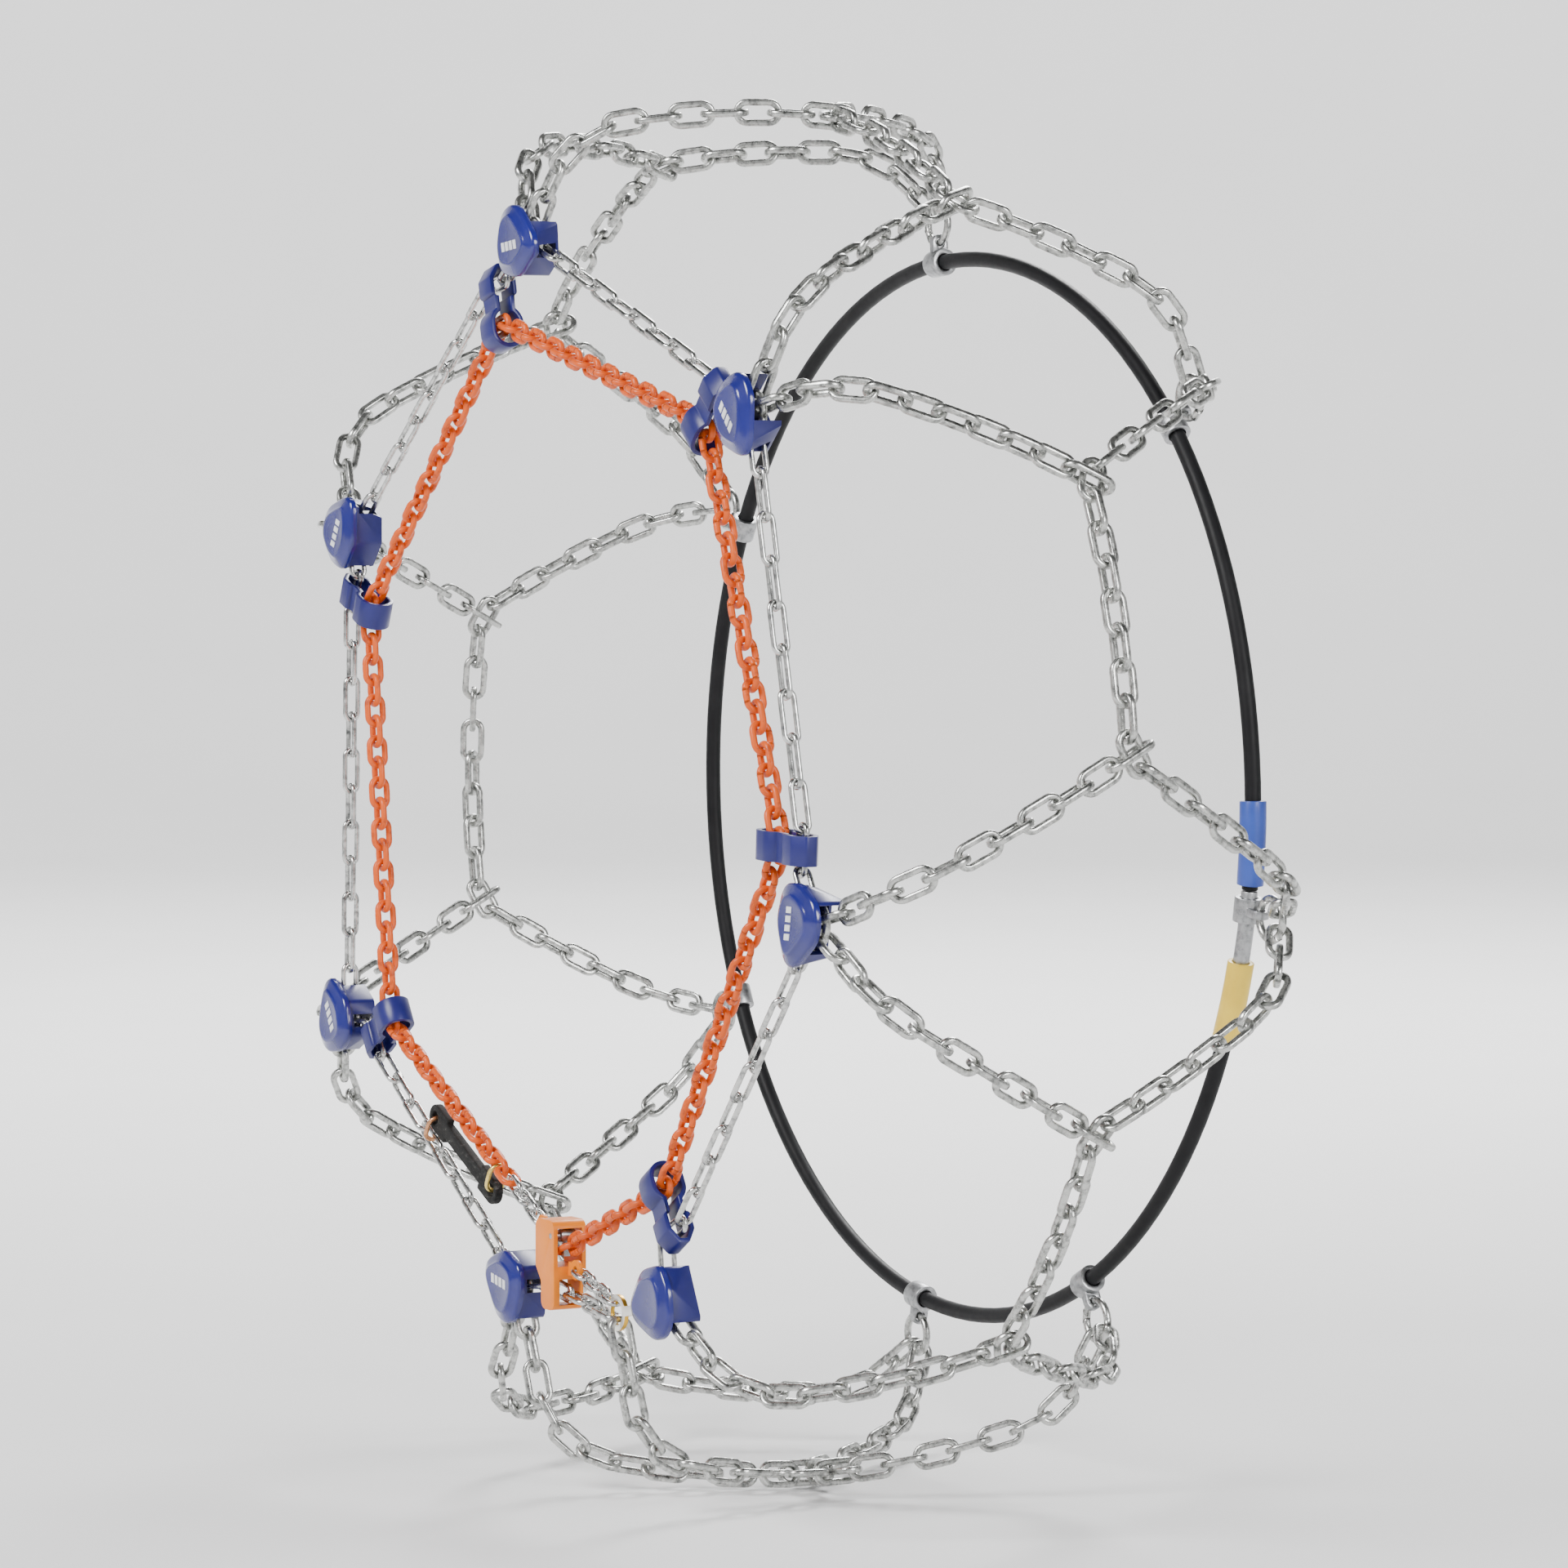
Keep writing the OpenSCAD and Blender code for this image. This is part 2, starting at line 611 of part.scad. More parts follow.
module hoop_cable() color("dimgray") hoop_part(-8, 337) circle(d = hoop_wire, $fn = 32);
module hoop_coupling() color("silver") hoop_part(-22.9, -8.1) circle(d = hoop_wire, $fn = 32);
module sleeve() difference() {
  circle(d = hoop_wire + 5, $fn = 32);
  circle(d = hoop_wire + 0.2, $fn = 32);
}
module hoop_blue_sleeve() color("royalblue") hoop_part(-7.5, 1) sleeve();
module hoop_yellow_sleeve() color("yellow") hoop_part(-24, -15.5) sleeve();

module inner_rings() {
  color("silver")
    for (cell = [0 : last]) at(inner_ring_r, cell_angles[cell], side_offset) ring();
}

// A lug: an eye round the hoop and a tab with a small hole that holds the ring
module inner_lugs() {
  color("silver")
    for (cell = [0 : last])
      at(hoop_radius, cell_angles[cell], side_offset)
        difference() {
          union() {
            translate([0, 0, -6]) cylinder(d = hoop_wire + 6, h = 12, $fn = 48);
            translate([0, -4.5, -2]) cube([lug_reach, 9, 4]);
            translate([lug_reach, 0, -2]) cylinder(d = 9, h = 4, $fn = 48);
          }
          translate([0, 0, -10]) cylinder(d = hoop_wire + 0.8, h = 20, $fn = 48);
          translate([lug_reach, 0, -10]) cylinder(d = ring_wire + 1.2, h = 20, $fn = 48);
        }
}

outer_diagonal(1);  // outer_diagonal_1
outer_diagonal(2);  // outer_diagonal_2
outer_diagonal(3);  // outer_diagonal_3
outer_diagonal(4);  // outer_diagonal_4
outer_diagonal(5);  // outer_diagonal_5
outer_diagonal(6);  // outer_diagonal_6
outer_diagonal(7);  // outer_diagonal_7
outer_diagonal(8);  // outer_diagonal_8
outer_diagonal(9);  // outer_diagonal_9
outer_diagonal(10);  // outer_diagonal_10
outer_diagonal(11);  // outer_diagonal_11
outer_diagonal(12);  // outer_diagonal_12
outer_diagonal(13);  // outer_diagonal_13
outer_diagonal(14);  // outer_diagonal_14
inner_diagonal(1);  // inner_diagonal_1
inner_diagonal(2);  // inner_diagonal_2
inner_diagonal(3);  // inner_diagonal_3
inner_diagonal(4);  // inner_diagonal_4
inner_diagonal(5);  // inner_diagonal_5
inner_diagonal(6);  // inner_diagonal_6
inner_diagonal(7);  // inner_diagonal_7
inner_diagonal(8);  // inner_diagonal_8
inner_diagonal(9);  // inner_diagonal_9
inner_diagonal(10);  // inner_diagonal_10
inner_diagonal(11);  // inner_diagonal_11
inner_diagonal(12);  // inner_diagonal_12
inner_diagonal(13);  // inner_diagonal_13
inner_diagonal(14);  // inner_diagonal_14
centre_chain(1);  // centre_chain_1
centre_chain(2);  // centre_chain_2
centre_chain(3);  // centre_chain_3
centre_chain(4);  // centre_chain_4
centre_chain(5);  // centre_chain_5
centre_chain(6);  // centre_chain_6
centre_chain(7);  // centre_chain_7
junction_links();
side_chain();
tension_chain();
lock_chains();
outer_rings();
connector_blocks();
connector_caps();
guide(0);  // guide_1
guide(1);  // guide_2
guide(2);  // guide_3
guide(3);  // guide_4
guide(4);  // guide_5
guide(5);  // guide_6
lock_body();
lock_pawl();
lock_pin();
closing_hook();
tension_strap();
strap_fittings();
hoop_cable();
hoop_coupling();
hoop_blue_sleeve();
hoop_yellow_sleeve();
inner_rings();
inner_lugs();
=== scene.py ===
"""The looks of a ladderless snow chain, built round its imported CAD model.

Metres. The wheel's axle is Y, its outer side faces -Y and +Z is up.
"""
import json
import math

import bmesh
import bpy
import numpy as np
from mathutils import Matrix, Vector

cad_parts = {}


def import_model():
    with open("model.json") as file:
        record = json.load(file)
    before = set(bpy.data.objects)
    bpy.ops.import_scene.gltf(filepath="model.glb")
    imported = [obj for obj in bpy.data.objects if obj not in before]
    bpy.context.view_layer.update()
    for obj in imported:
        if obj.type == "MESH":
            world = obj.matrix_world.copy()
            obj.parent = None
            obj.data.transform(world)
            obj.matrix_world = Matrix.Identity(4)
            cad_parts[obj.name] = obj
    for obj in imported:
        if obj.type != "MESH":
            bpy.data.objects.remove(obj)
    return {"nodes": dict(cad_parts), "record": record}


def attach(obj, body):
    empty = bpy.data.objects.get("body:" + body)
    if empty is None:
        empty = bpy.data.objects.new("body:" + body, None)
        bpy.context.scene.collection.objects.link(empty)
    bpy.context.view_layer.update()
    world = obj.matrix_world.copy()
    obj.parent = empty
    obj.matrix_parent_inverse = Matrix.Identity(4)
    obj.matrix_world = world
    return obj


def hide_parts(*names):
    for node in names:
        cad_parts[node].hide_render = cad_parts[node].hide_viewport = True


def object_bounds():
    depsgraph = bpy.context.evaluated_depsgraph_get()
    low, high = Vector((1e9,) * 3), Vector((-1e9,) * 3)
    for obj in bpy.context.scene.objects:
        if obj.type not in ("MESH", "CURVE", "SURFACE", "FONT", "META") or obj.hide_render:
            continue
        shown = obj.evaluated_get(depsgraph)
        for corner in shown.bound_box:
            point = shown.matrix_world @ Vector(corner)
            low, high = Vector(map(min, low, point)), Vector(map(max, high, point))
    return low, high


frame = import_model()
cad_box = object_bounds()
BODY_OF = {
    node: body
    for body, nodes in frame["record"]["behaviour"]["bodies"].items()
    for node in nodes
}
MM = 0.001


# ------------------------------------------------------------------ materials

class Shader:
    """A node material with one Principled shader, and short names for what it is built from."""

    def __init__(self, name, **sockets):
        self.material = bpy.data.materials.new(name)
        self.material.use_nodes = True
        self.tree = self.material.node_tree
        self.shader = self.tree.nodes["Principled BSDF"]
        self.place = self.tree.nodes.new("ShaderNodeTexCoord").outputs["Object"]
        for socket, value in sockets.items():
            self.shader.inputs[socket.replace("_", " ")].default_value = value

    def node(self, kind, **values):
        made = self.tree.nodes.new("ShaderNode" + kind)
        for name, value in values.items():
            setattr(made, name, value)
        return made

    def link(self, source, target):
        self.tree.links.new(source, target)

    def noise(self, scale, detail=4.0, roughness=0.55, stretch=(1, 1, 1)):
        mapping = self.node("Mapping")
        mapping.inputs["Scale"].default_value = stretch
        self.link(self.place, mapping.inputs["Vector"])
        made = self.node("TexNoise")
        made.inputs["Scale"].default_value = scale
        made.inputs["Detail"].default_value = detail
        made.inputs["Roughness"].default_value = roughness
        self.link(mapping.outputs["Vector"], made.inputs["Vector"])
        return made.outputs["Fac"]

    def ramp(self, source, stops):
        made = self.node("ValToRGB")
        first, last = made.color_ramp.elements[0], made.color_ramp.elements[-1]
        first.position, first.color = stops[0][0], (*stops[0][1], 1)
        last.position, last.color = stops[-1][0], (*stops[-1][1], 1)
        for position, colour in stops[1:-1]:
            made.color_ramp.elements.new(position).color = (*colour, 1)
        self.link(source, made.inputs["Fac"])
        return made.outputs["Color"]

    def spread(self, source, low, high):
        made = self.node("MapRange")
        made.inputs["To Min"].default_value = low
        made.inputs["To Max"].default_value = high
        self.link(source, made.inputs["Value"])
        return made.outputs["Result"]

    def bump(self, source, strength, distance):
        made = self.node("Bump")
        made.inputs["Strength"].default_value = strength
        made.inputs["Distance"].default_value = distance
        self.link(source, made.inputs["Height"])
        self.link(made.outputs["Normal"], self.shader.inputs["Normal"])

    def colour(self, source):
        self.link(source, self.shader.inputs["Base Color"])

    def roughness(self, source, low, high):
        self.link(self.spread(source, low, high), self.shader.inputs["Roughness"])


# In these, every scale is in features to the metre, and low and high are limits of roughness.

def steel(name, dark, light, low, high):
    """Galvanised or plated steel: cloudy in tone, partly the zinc's own mottle and partly painted dark
    reflections and painted highlights, with fine scratches in the zinc.
    """
    clouds, wear, scratches = 260, 700, 1500
    scratch_depth = 0.0002
    # The brightest stop of the colour ramp is a painted highlight and the dark stop a painted dark
    # reflection, both laid at random over the zinc's own mottle.
    painted_highlight = [min(1, c * 1.08) for c in light]
    made = Shader(name, Metallic=1.0)
    made.colour(made.ramp(made.noise(clouds, 5, 0.6), [(0.3, dark), (0.55, light), (0.8, painted_highlight)]))
    made.roughness(made.noise(wear, 3, 0.6), low, high)
    made.bump(made.noise(scratches, 2, 0.5), 0.12, scratch_depth)
    return made.material


def plated_bar(name, edge, face, low, high):
    """A flat zinc-plated pressing, yellow on its cut edges and worn to white on its two faces."""
    wear, scratches = 700, 1500
    scratch_depth = 0.0002
    made = Shader(name, Metallic=1.0)
    normal = made.node("SeparateXYZ")
    made.link(made.node("TexCoord").outputs["Normal"], normal.inputs["Vector"])
    flatness = made.node("Math", operation="ABSOLUTE")
    made.link(normal.outputs["Y"], flatness.inputs[0])
    made.colour(made.ramp(flatness.outputs["Value"], [(0.55, edge), (0.92, face)]))
    made.roughness(made.noise(wear, 3, 0.6), low, high)
    made.bump(made.noise(scratches, 2, 0.5), 0.1, scratch_depth)
    return made.material


def plastic(name, dark, light, low, high, coat=0.0, bump=0.03, shine=0.5):
    """Injection-moulded plastic: a nearly even colour over a very fine moulded grain."""
    flow_marks, gloss_patches, grain = 60, 300, 2200
    grain_depth = 0.00015
    made = Shader(name, Coat_Weight=coat, Coat_Roughness=0.12, IOR=1.5, Specular_IOR_Level=shine)
    made.colour(made.ramp(made.noise(flow_marks, 4, 0.55), [(0.3, dark), (0.7, light)]))
    made.roughness(made.noise(gloss_patches, 3, 0.6), low, high)
    made.bump(made.noise(grain, 2, 0.5), bump, grain_depth)
    return made.material


def coated(name, dark, light, low, high):
    """Thick coat on steel wire, darker in patches where the links rub."""
    rubbed, gloss_patches, ripple = 180, 420, 900
    ripple_depth = 0.0003
    made = Shader(name, Coat_Weight=0.15, Coat_Roughness=0.15, IOR=1.4)
    made.colour(made.ramp(made.noise(rubbed, 5, 0.6), [(0.28, dark), (0.45, light), (0.8, light)]))
    made.roughness(made.noise(gloss_patches, 3, 0.6), low, high)
    made.bump(made.noise(ripple, 3, 0.6), 0.15, ripple_depth)
    return made.material


def worn_rubber(name, clean, dull, scuffed):
    """Black rubber with grey scuffs along its length."""
    scuff_marks, cracks = 150, 420
    crack_depth = 0.0006
    made = Shader(name, IOR=1.5, Specular_IOR_Level=0.25)
    scuffs = made.noise(scuff_marks, 8, 0.7, (1, 1, 2.5))
    made.colour(made.ramp(scuffs, [(0.45, clean), (0.58, dull), (0.70, scuffed)]))
    made.roughness(scuffs, 0.55, 0.9)
    made.bump(made.noise(cracks, 6, 0.7), 0.5, crack_depth)
    return made.material


TREAD_STEEL = steel("tread_steel", (0.15, 0.155, 0.15), (0.58, 0.585, 0.565), 0.2, 0.38)
SIDE_STEEL = steel("side_steel", (0.20, 0.205, 0.205), (0.66, 0.66, 0.645), 0.14, 0.32)
PLAIN_STEEL = steel("plain_steel", (0.20, 0.205, 0.21), (0.44, 0.445, 0.455), 0.28, 0.48)
YELLOW_ZINC = steel("yellow_zinc", (0.50, 0.34, 0.07), (0.86, 0.66, 0.20), 0.22, 0.42)
COPPER_ZINC = steel("copper_zinc", (0.36, 0.15, 0.07), (0.66, 0.33, 0.17), 0.25, 0.45)
HOOK_ZINC = plated_bar("hook_zinc", (0.72, 0.42, 0.06), (0.92, 0.90, 0.84), 0.22, 0.42)
ORANGE_COAT = coated("orange_coat", (0.32, 0.03, 0.001), (0.68, 0.092, 0.001), 0.36, 0.55)
BLUE_COVER = plastic("blue_cover", (0.009, 0.011, 0.13), (0.012, 0.015, 0.18), 0.16, 0.26, 0.4)
BLUE_BODY = plastic("blue_body", (0.008, 0.009, 0.10), (0.011, 0.012, 0.14), 0.3, 0.42)
AMBER = plastic("amber_plastic", (0.76, 0.185, 0.001), (0.86, 0.235, 0.002), 0.32, 0.44, shine=0.3)
WHITE_PRINT = plastic("white_print", (0.70, 0.71, 0.73), (0.84, 0.85, 0.87), 0.4, 0.55)
SHEATH = plastic("cable_sheath", (0.004, 0.004, 0.005), (0.008, 0.008, 0.009), 0.42, 0.6, bump=0.2, shine=0.2)
BLUE_SLEEVE = plastic("blue_sleeve", (0.02, 0.05, 0.28), (0.03, 0.07, 0.36), 0.3, 0.45)
YELLOW_SLEEVE = plastic("yellow_sleeve", (0.70, 0.46, 0.03), (0.80, 0.56, 0.05), 0.3, 0.45)
STRAP_RUBBER = worn_rubber("strap_rubber", (0.006, 0.006, 0.006), (0.018, 0.018, 0.017), (0.12, 0.115, 0.11))


# ------------------------------------------------------------------ reading the CAD solids

def points_of(mesh):
    flat = np.empty(len(mesh.vertices) * 3)
    mesh.vertices.foreach_get("co", flat)
    return flat.reshape(-1, 3)


def solids_of(node):
    """The corner points of each separate solid in a CAD node."""
    mesh = frame["nodes"][node].data
    points = points_of(mesh)
    unique, group = np.unique(np.round(points * 1e6).astype(np.int64), axis=0, return_inverse=True)
    group = group.reshape(-1)
    edges = np.empty(len(mesh.edges) * 2, dtype=np.int64)
    mesh.edges.foreach_get("vertices", edges)
    a, b = group[edges[0::2]], group[edges[1::2]]
    label = np.arange(len(unique))
    while True:
        before = label.copy()
        low = np.minimum(label[a], label[b])
        np.minimum.at(label, a, low)
        np.minimum.at(label, b, low)
        label = label[label]
        if np.array_equal(before, label):
            break
    return [unique[label == k] * 1e-6 for k in np.unique(label)]


def own_axes(points):
    """Centre, axes from long to short, and extents of a solid that is symmetrical about them."""
    centre = points.mean(0)
    _, vectors = np.linalg.eigh(np.cov((points - centre).T))
    axes = vectors[:, ::-1].T
    if np.linalg.det(axes) < 0:
        axes[2] *= -1
    spans = (points - centre) @ axes.T
    low, high = spans.min(0), spans.max(0)
    return centre + (low + high) / 2 @ axes, axes, high - low


# ------------------------------------------------------------------ making pieces

def piece(name, vertices, faces, material, node, smooth=True):
    """A mesh piece that stands for part of a CAD node and rides on that node's body."""
    mesh = bpy.data.meshes.new(name)
    mesh.from_pydata(vertices, [], faces)
    mesh.update()
    made = bpy.data.objects.new(name, mesh)
    bpy.context.scene.collection.objects.link(made)
    mesh.materials.append(material)
    if smooth:
        mesh.polygons.foreach_set("use_smooth", [True] * len(mesh.polygons))
    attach(made, BODY_OF[node])
    return made


WIRE_SIDES = 16
BEND_STEPS = 12
# The power of a wire's superelliptic section: 2 is round, more is flattened on four sides
ROUND = 2.0
SQUARED = 3.2
SECTION_SPREAD = 0.72                             # how far a flattened section keeps its corners in
# The weld on one straight bar: places along it as shares of WELD_REACH wires, and the wire's share there
WELD_REACH = 2.6
WELD = ((0.34, 0.975), (0.24, 0.95), (0.12, 1.0), (-0.12, 1.0), (-0.24, 0.95), (-0.34, 0.975))
DRAWN = 0.975                                     # the wire's share everywhere else


def link_path(length, width, wire):
    """Points, tangents and wire thickness round an oval link, with the weld on one straight bar."""
    bend = (width - wire) / 2
    half = (length - width) / 2
    rows = []
    for end in (1, -1):
        for k in range(BEND_STEPS + 1):
            a = math.pi * (k / BEND_STEPS - 0.5)
            rows.append((end * (half + bend * math.cos(a)), end * bend * math.sin(a),
                         -end * math.sin(a), end * math.cos(a), DRAWN))
        if end == 1:
            rows += [(along * wire * WELD_REACH, bend, -1, 0, thick) for along, thick in WELD]
    return np.array(rows)


def link_mesh(length, width, wire, form):
    """Vertices and faces of one link in its own axes: X along it, Y across it."""
    rows = link_path(length, width, wire)
    turn = 2 * np.pi * (np.arange(WIRE_SIDES) + 0.5) / WIRE_SIDES
    out, up = np.cos(turn), np.sin(turn)
    swell = (abs(out) ** form + abs(up) ** form) ** (-1 / form)
    swell *= 1.0 / swell.max() ** SECTION_SPREAD
    out, up = out * swell, up * swell
    radius = rows[:, 4] * wire / 2
    x = rows[:, 0][:, None] + np.outer(radius * rows[:, 3], out)
    y = rows[:, 1][:, None] - np.outer(radius * rows[:, 2], out)
    z = np.outer(radius, up)
    count = len(rows)
    i = np.arange(count)[:, None]
    j = np.arange(WIRE_SIDES)[None, :]
    ahead, beside = (i + 1) % count, (j + 1) % WIRE_SIDES
    faces = np.stack([i * WIRE_SIDES + j, ahead * WIRE_SIDES + j, ahead * WIRE_SIDES + beside,
                      i * WIRE_SIDES + beside], -1).reshape(-1, 4)
    return np.stack([x, y, z], -1).reshape(-1, 3), faces


def chain(node, material, wire, form=ROUND, part="links", above=-1.0, below=1.0, ring=False):
    """The links of a CAD chain between two heights again, as drawn wire with a weld.

    A ring is a link as wide as it is long, which leaves it no straight bars."""
    vertices, faces, count = [], [], 0
    for points in solids_of(node):
        centre, axes, size = own_axes(points)
        if not above < centre[2] < below:
            continue
        local, quads = link_mesh(size[0], size[0] if ring else size[1], wire, form)
        vertices.append(local @ axes + centre)
        faces.append(quads + count)
        count += len(local)
    made = piece(node + "_" + part, np.concatenate(vertices).tolist(), np.concatenate(faces).tolist(),
                 material, node)
    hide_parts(node)


def softened(node, material, width, segments=2, angle=35):
    """A copy of a CAD node with every sharp edge rounded as a moulding or pressing has it."""
    source = frame["nodes"][node].data
    work = bmesh.new()
    work.from_mesh(source)
    bmesh.ops.remove_doubles(work, verts=work.verts, dist=1e-6)
    bmesh.ops.dissolve_limit(work, angle_limit=math.radians(1.0), verts=work.verts, edges=work.edges)
    mesh = bpy.data.meshes.new(node + "_soft")
    work.to_mesh(mesh)
    work.free()
    made = bpy.data.objects.new(node + "_soft", mesh)
    bpy.context.scene.collection.objects.link(made)
    bevel = made.modifiers.new("edges", "BEVEL")
    bevel.width = width
    bevel.segments = segments
    bevel.limit_method = "ANGLE"
    bevel.angle_limit = math.radians(angle)
    bpy.context.view_layer.update()
    done = bpy.data.meshes.new_from_object(made.evaluated_get(bpy.context.evaluated_depsgraph_get()))
    made.modifiers.clear()
    made.data = done
    done.materials.clear()
    done.materials.append(material)
    done.polygons.foreach_set("use_smooth", [True] * len(done.polygons))
    done.set_sharp_from_angle(angle=math.radians(30))
    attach(made, BODY_OF[node])
    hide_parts(node)


# ------------------------------------------------------------------ connector covers

# A cover's profile: how far each ring of it lies inside the outline, and how far it stands out
COVER_SIDE = ((0.0, 0.0), (0.0, 1.9), (0.2, 2.6), (0.7, 3.2), (1.5, 3.6), (4.3, 4.9), (4.8, 5.25), (5.2, 5.7),
              (5.7, 5.92), (6.3, 5.95))
# Inside that the face is dished a little towards its middle
COVER_FACE = ((0.9, 5.9), (0.75, 5.75), (0.5, 5.6), (0.25, 5.52))
OUTLINE_POINTS = 96
CORNER_PASSES = 10                                # of smoothing on the outline itself
BORDER_PASSES = 3                                 # and on every ring of the profile inside it
# The covers with a mark on them, going round from the lower left; the lowest on the right is blank
MARKED = (True, True, False, True, True, True, True)
MARK_BARS = 4
MARK_STEP = 4.3                                   # from one bar of a mark to the next, in millimetres
MARK_SHIFT = -2.0                                 # of the whole mark, towards the wheel's centre
MARK_CORNERS = ((-2.3, -1.9), (2.3, -1.1), (2.3, 1.9), (-2.3, 1.1))
MARK_FOOT, MARK_EDGE, MARK_TOP = 5.4, 5.9, 6.0    # heights over the cover's back
MARK_TAPER = 0.93


def outline_of(points):
    """The outline of a cover's back, anticlockwise from the outer side, as x and z in metres."""
    back = points[points[:, 1] > points[:, 1].max() - 0.0001]
    flat = np.unique(np.round(back[:, [0, 2]], 6), axis=0)
    middle = (flat.min(0) + flat.max(0)) / 2
    turn = np.arctan2(flat[:, 1] - middle[1], flat[:, 0] - middle[0])
    return flat[np.argsort(turn)]


def evened(outline, count):
    """The same outline with its corners at equal steps."""
    closed = np.vstack([outline, outline[:1]])
    run = np.concatenate([[0], np.cumsum(np.linalg.norm(np.diff(closed, axis=0), axis=1))])
    at = np.linspace(0, run[-1], count, endpoint=False)
    return np.stack([np.interp(at, run, closed[:, k]) for k in (0, 1)], -1)


def smoothed(outline, passes):
    """The outline with its corners eased, each point moving towards its two neighbours."""
    for _ in range(passes):
        outline = 0.5 * outline + 0.25 * (np.roll(outline, 1, 0) + np.roll(outline, -1, 0))
    return outline


def inset(outline, distance):
    """The outline moved inwards by a distance, square to its own edges."""
    ahead = np.roll(outline, -1, 0) - np.roll(outline, 1, 0)
    ahead /= np.linalg.norm(ahead, axis=1)[:, None]
    return outline + distance * np.stack([-ahead[:, 1], ahead[:, 0]], -1)


def caps():
    """Each cover: upright sides, a wide sloping border and a raised face with a plain mark."""
    vertices, faces, marks, mark_faces = [], [], [], []
    solids = sorted(solids_of("connector_caps"), key=lambda c: math.atan2(c[:, 2].mean(), c[:, 0].mean()))
    for number, points in enumerate(solids):
        start = len(vertices)
        outline = smoothed(evened(outline_of(points), OUTLINE_POINTS), CORNER_PASSES)
        back = points[:, 1].max()
        middle = outline.mean(0)
        rows, rim, reached = [], outline, 0.0
        for away, out in COVER_SIDE:
            if away > reached:
                inner = inset(rim, (away - reached) * MM)
                rim = evened(smoothed(inner, BORDER_PASSES), OUTLINE_POINTS)
                reached = away
            rows.append((rim, out))
        rows += [(middle + (rim - middle) * share, out) for share, out in COVER_FACE]
        for row, out in rows:
            vertices += [(x, back - out * MM, z) for x, z in row]
        n = len(outline)
        for k in range(len(rows) - 1):
            for i in range(n):
                a, b = start + k * n + i, start + k * n + (i + 1) % n
                faces.append((a, b, b + n, a + n))
        vertices.append((middle[0], back - COVER_FACE[-1][1] * MM + 0.00002, middle[1]))
        ring = start + (len(rows) - 1) * n
        faces += [(ring + i, ring + (i + 1) % n, len(vertices) - 1) for i in range(n)]
        faces.append([start + i for i in reversed(range(n))])
        if MARKED[number]:
            mark(marks, mark_faces, middle, back)
    made = piece("connector_covers", vertices, faces, BLUE_COVER, "connector_caps")
    made.data.set_sharp_from_angle(angle=math.radians(50))
    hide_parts("connector_caps")
    piece("connector_marks", marks, mark_faces, WHITE_PRINT, "connector_caps", False)


def mark(vertices, faces, middle, back):
    """A plain row of slanted bars along the cover, which says nothing."""
    outward = middle / np.linalg.norm(middle)
    onward = np.array([-outward[1], outward[0]])
    for k in range(MARK_BARS):
        at = (k - (MARK_BARS - 1) / 2) * MARK_STEP
        start = len(vertices)
        for height, share in ((MARK_FOOT, 1.0), (MARK_EDGE, 1.0), (MARK_TOP, MARK_TAPER)):
            for a, b in MARK_CORNERS:
                place = middle + (outward * (a * share + MARK_SHIFT) + onward * (at + b * share)) * MM
                vertices.append((place[0], back - height * MM, place[1]))
        for ring in (0, 4):
            for i in range(4):
                a, b = start + ring + i, start + ring + (i + 1) % 4
                faces.append((a, b, b + 4, a + 4))
        faces.append([start + 8 + i for i in range(4)])


# ------------------------------------------------------------------ the chains

NET_WIRE = 3.8 * MM
RING_WIRE = 4.0 * MM
SIDE_WIRE = 2.8 * MM
LOCK_WIRE = 2.6 * MM
TENSION_WIRE = 3.4 * MM
FITTING_WIRE = 2.6 * MM
for number in range(1, 15):
    chain("outer_diagonal_%d" % number, TREAD_STEEL, NET_WIRE, SQUARED)
    chain("inner_diagonal_%d" % number, TREAD_STEEL, NET_WIRE, SQUARED)
for number in range(1, 8):
    chain("centre_chain_%d" % number, TREAD_STEEL, NET_WIRE, SQUARED)
chain("junction_links", TREAD_STEEL, NET_WIRE, SQUARED)
chain("side_chain", SIDE_STEEL, SIDE_WIRE)
chain("lock_chains", SIDE_STEEL, LOCK_WIRE)
chain("tension_chain", ORANGE_COAT, TENSION_WIRE)
STRAP_MIDDLE = points_of(frame["nodes"]["tension_strap"].data)[:, 2].mean()
chain("strap_fittings", YELLOW_ZINC, FITTING_WIRE, part="lower_link", below=STRAP_MIDDLE)
chain("strap_fittings", COPPER_ZINC, FITTING_WIRE, part="upper_link", above=STRAP_MIDDLE)
for side in ("outer", "inner"):
    chain(side + "_rings", TREAD_STEEL, RING_WIRE, part="wire", ring=True)


# ------------------------------------------------------------------ mouldings and pressings

softened("connector_blocks", BLUE_BODY, 0.8 * MM)
caps()
for number in range(1, 7):
    softened("guide_%d" % number, BLUE_BODY, 0.7 * MM)
softened("lock_body", AMBER, 1.5 * MM, 4)
softened("lock_pawl", PLAIN_STEEL, 0.3 * MM)
softened("lock_pin", PLAIN_STEEL, 0.3 * MM)
softened("closing_hook", HOOK_ZINC, 0.4 * MM)
softened("tension_strap", STRAP_RUBBER, 0.8 * MM, 3)
softened("inner_lugs", PLAIN_STEEL, 0.4 * MM)
softened("hoop_cable", SHEATH, 0.5 * MM)
softened("hoop_coupling", PLAIN_STEEL, 0.5 * MM)
softened("hoop_blue_sleeve", BLUE_SLEEVE, 0.5 * MM)
softened("hoop_yellow_sleeve", YELLOW_SLEEVE, 0.5 * MM)


# ------------------------------------------------------------------ floor, light and camera

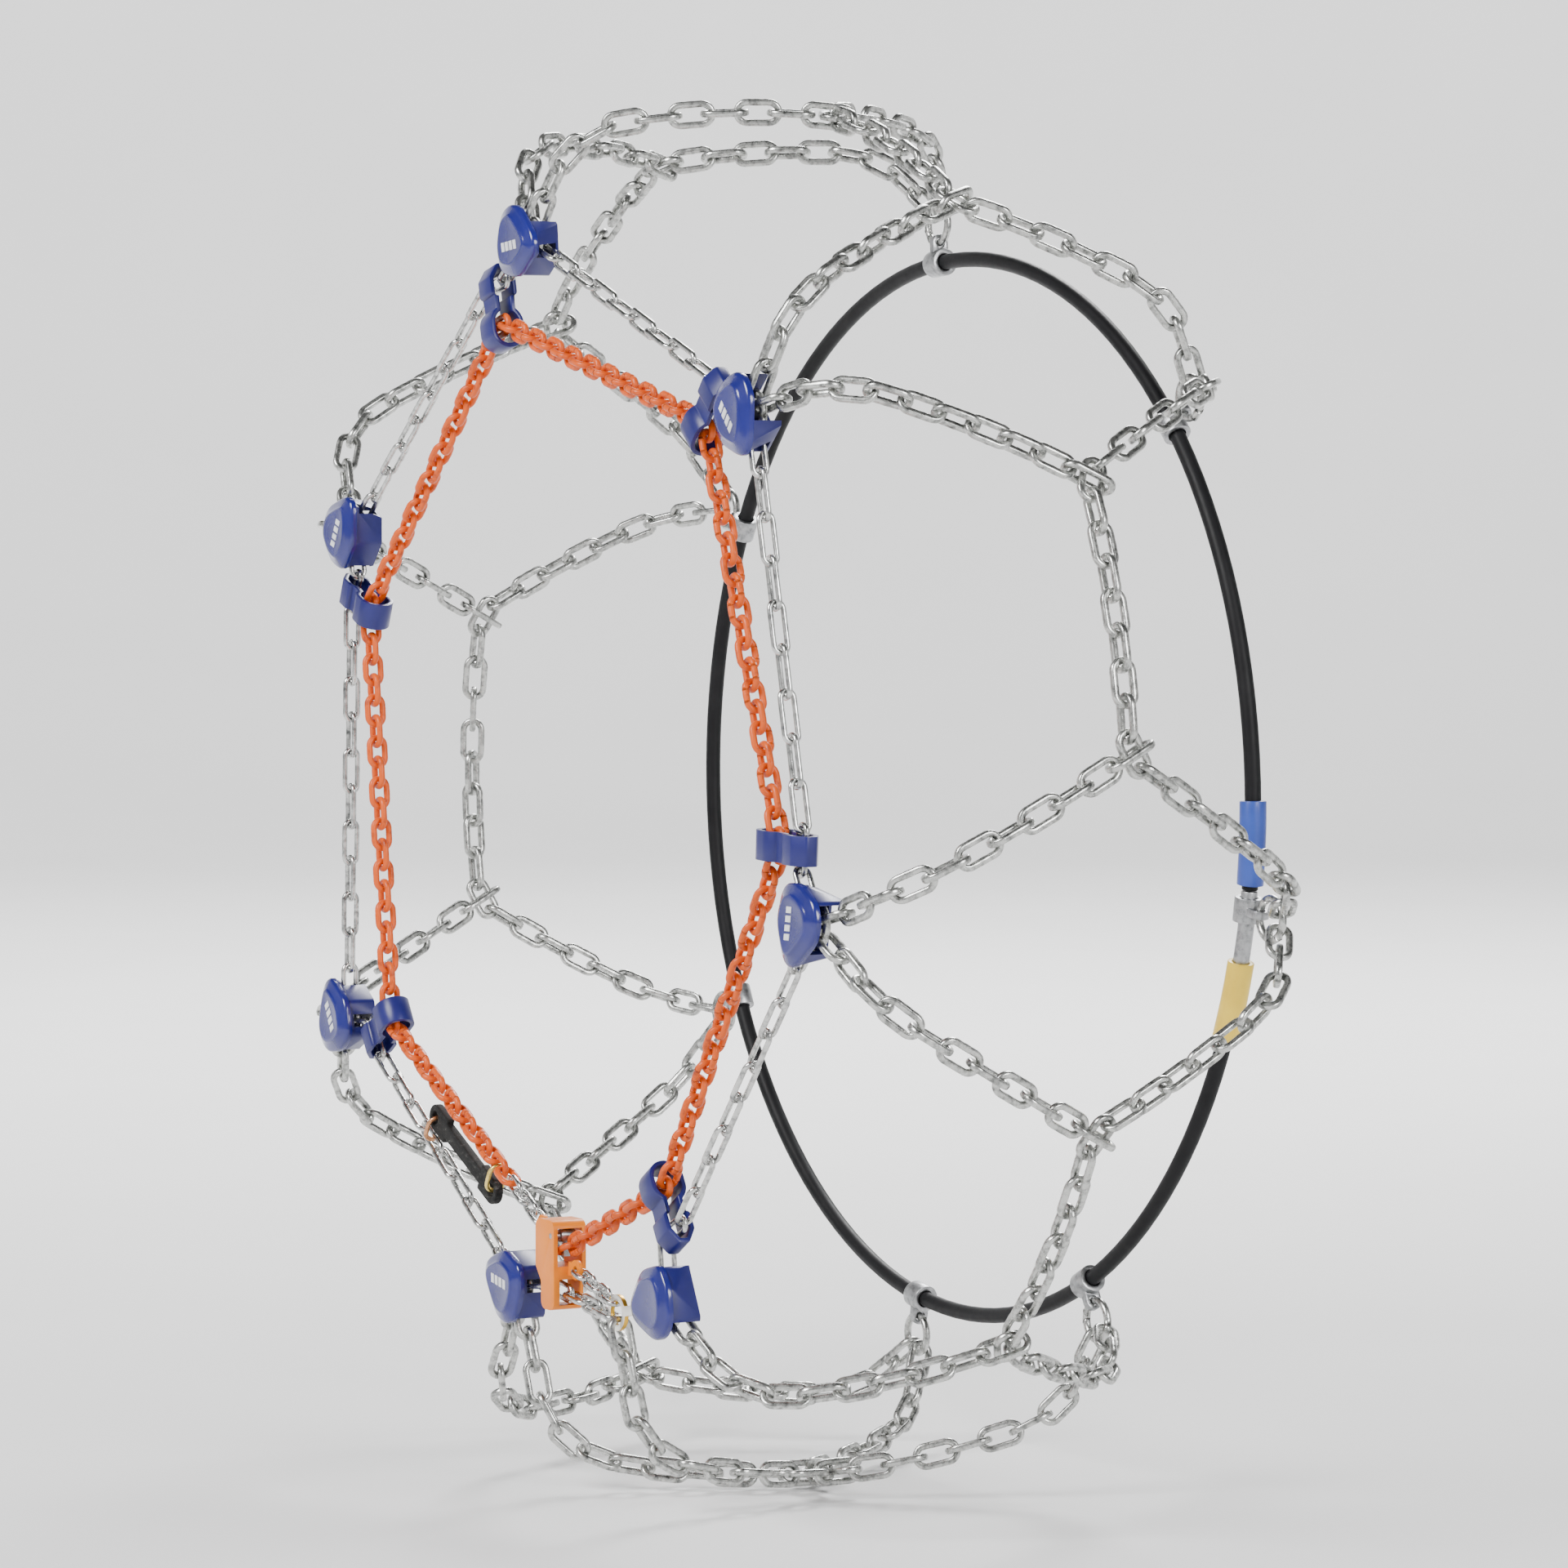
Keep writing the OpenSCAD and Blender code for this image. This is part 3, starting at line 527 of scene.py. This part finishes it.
def stage_floor():
    """A plain pale round floor that curves up into a low wall far away on every side."""
    ground = cad_box[0][2] - 0.001
    flat, bend, wall, sides = 5.5, 2.0, 4.5, 128
    rows = [(flat / 2, 0.0), (flat, 0.0)]
    for k in range(1, 13):
        a = math.pi / 2 * k / 12
        rows.append((flat + bend * math.sin(a), bend - bend * math.cos(a)))
    rows.append((flat + bend, wall))
    vertices = [(0, 0, ground)]
    for radius, height in rows:
        for k in range(sides):
            a = 2 * math.pi * k / sides
            vertices.append((radius * math.cos(a), radius * math.sin(a), ground + height))
    faces = [(0, 1 + k, 1 + (k + 1) % sides) for k in range(sides)]
    for r in range(len(rows) - 1):
        for k in range(sides):
            a, b = 1 + r * sides + k, 1 + r * sides + (k + 1) % sides
            faces.append((a, a + sides, b + sides, b))
    mesh = bpy.data.meshes.new("sweep")
    mesh.from_pydata(vertices, [], faces)
    mesh.polygons.foreach_set("use_smooth", [True] * len(mesh.polygons))
    made = bpy.data.objects.new("sweep", mesh)
    bpy.context.scene.collection.objects.link(made)
    shade = Shader("pale_sweep", Roughness=0.8)
    shade.colour(shade.ramp(shade.noise(3, 2), [(0.3, (0.80, 0.80, 0.80)), (0.7, (0.82, 0.82, 0.82))]))
    mesh.materials.append(shade.material)


def area_light(name, place, size, power, aim=(0, 0, 0)):
    """A round soft light of a size in metres and a power in watts, turned to a point."""
    light = bpy.data.lights.new(name, "AREA")
    light.shape = "DISK"
    light.size = size
    light.energy = power
    made = bpy.data.objects.new(name, light)
    made.location = place
    made.rotation_euler = (Vector(aim) - Vector(place)).to_track_quat("-Z", "Y").to_euler()
    bpy.context.scene.collection.objects.link(made)


AZIMUTH = math.radians(61.1)
ELEVATION = math.radians(2.6)
DISTANCE = 3.038
SHIFT_RIGHT = 0.0109
SHIFT_UP = 0.0046
LENS = 137.1
SENSOR = 36


def camera():
    """The camera, level with the wheel's middle and well round to its right."""
    back = Vector((math.sin(AZIMUTH) * math.cos(ELEVATION), -math.cos(AZIMUTH) * math.cos(ELEVATION),
                   math.sin(ELEVATION)))
    right = Vector((math.cos(AZIMUTH), math.sin(AZIMUTH), 0))
    up = back.cross(right)
    made = bpy.data.objects.new("camera", bpy.data.cameras.new("camera"))
    made.data.sensor_width = SENSOR
    made.data.lens = LENS
    made.data.clip_end = 50
    made.matrix_world = Matrix((right, up, back)).transposed().to_4x4()
    made.location = back * DISTANCE + right * SHIFT_RIGHT + up * SHIFT_UP
    bpy.context.scene.collection.objects.link(made)
    bpy.context.scene.camera = made


def world():
    """A dim even surround, so that the metal keeps its contrast."""
    made = bpy.data.worlds.new("studio")
    made.use_nodes = True
    made.node_tree.nodes["Background"].inputs["Color"].default_value = (1, 1, 1, 1)
    made.node_tree.nodes["Background"].inputs["Strength"].default_value = 0.12
    bpy.context.scene.world = made


camera()
stage_floor()
world()
area_light("key", (0.6, -3.2, 2.6), 2.0, 230)
area_light("fill", (3.8, 0.4, 1.4), 1.6, 110)
area_light("rim", (-2.4, 2.2, 2.6), 1.4, 150)
area_light("backdrop", (-1.8, 1.0, 3.8), 2.5, 420, (-6.6, 3.6, 0.6))
